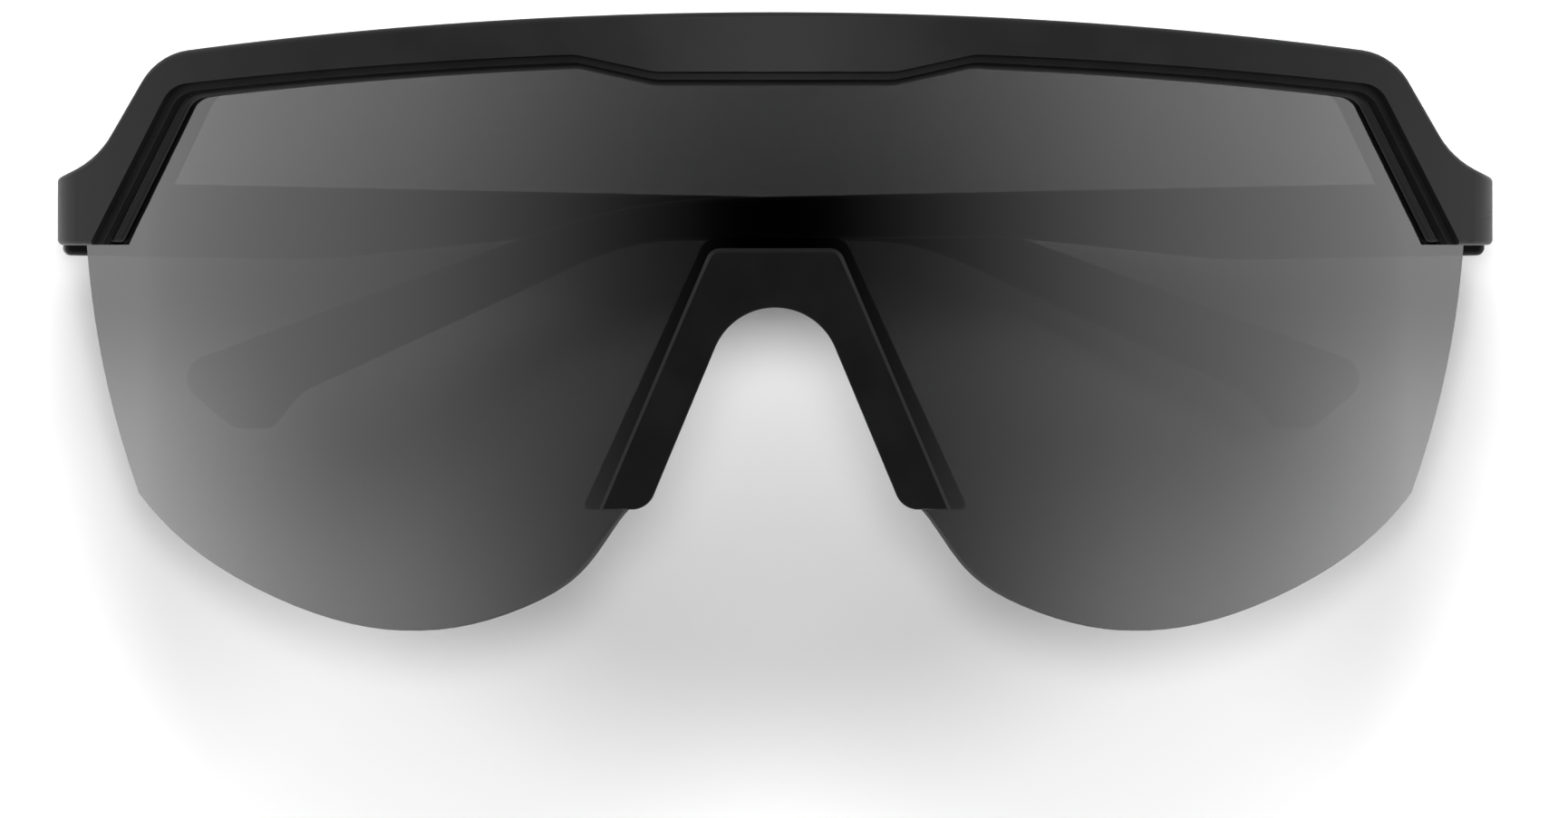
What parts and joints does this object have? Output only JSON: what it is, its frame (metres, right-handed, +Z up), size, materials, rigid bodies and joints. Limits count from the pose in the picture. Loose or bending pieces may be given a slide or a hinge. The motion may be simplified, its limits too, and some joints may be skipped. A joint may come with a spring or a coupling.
{
  "type": "wraparound sport sunglasses",
  "caption": "Shield sport sunglasses: curved smoke lens under a black brow frame, clipped nose piece with soft pads, folding temples with rubber ear grips.",
  "frame": {"origin": "crest of the nose arch, on the symmetry plane, at the foremost line of the lens", "axes": "+Z up as worn, the front of the lens faces -Y, +X to the wearer's left"},
  "size_m": [0.146, 0.0605, 0.0624],
  "materials": {
    "frame_plastic": "satin moulded nylon",
    "clip_plastic": "satin moulded nylon",
    "smoke_lens": "polished smoke polycarbonate",
    "gasket_rubber": "matte rubber",
    "soft_rubber": "soft matte rubber",
    "hinge_steel": "turned steel",
    "brass": "turned brass",
    "bearing_nylon": "natural nylon"
  },
  "bodies": {
    "front": {"brow_frame": "frame_plastic", "lens_gasket": "gasket_rubber", "shield_lens": "smoke_lens", "nose_clip": "clip_plastic", "nose_pad_right": "soft_rubber", "hinge_screw_right": "hinge_steel", "hinge_insert_right": "brass", "nose_pad_left": "soft_rubber", "hinge_screw_left": "hinge_steel", "hinge_insert_left": "brass"},
    "temple_right": {"temple_arm_right": "frame_plastic", "ear_grip_right": "soft_rubber", "core_wire_right": "hinge_steel", "hinge_bush_right": "bearing_nylon", "hinge_washers_right": "bearing_nylon"},
    "temple_left": {"temple_arm_left": "frame_plastic", "ear_grip_left": "soft_rubber", "core_wire_left": "hinge_steel", "hinge_bush_left": "bearing_nylon", "hinge_washers_left": "bearing_nylon"}
  },
  "joints": [
    {"name": "temple_right_hinge", "type": "hinge", "parent": "front", "child": "temple_right", "pos_m": [-0.068, 0.0455, 0.00965], "axis": [0, 0, 1], "range_deg": [0, 85]},
    {"name": "temple_left_hinge", "type": "hinge", "parent": "front", "child": "temple_left", "pos_m": [0.068, 0.0455, 0.00965], "axis": [0, 0, -1], "range_deg": [0, 90]}
  ]
}
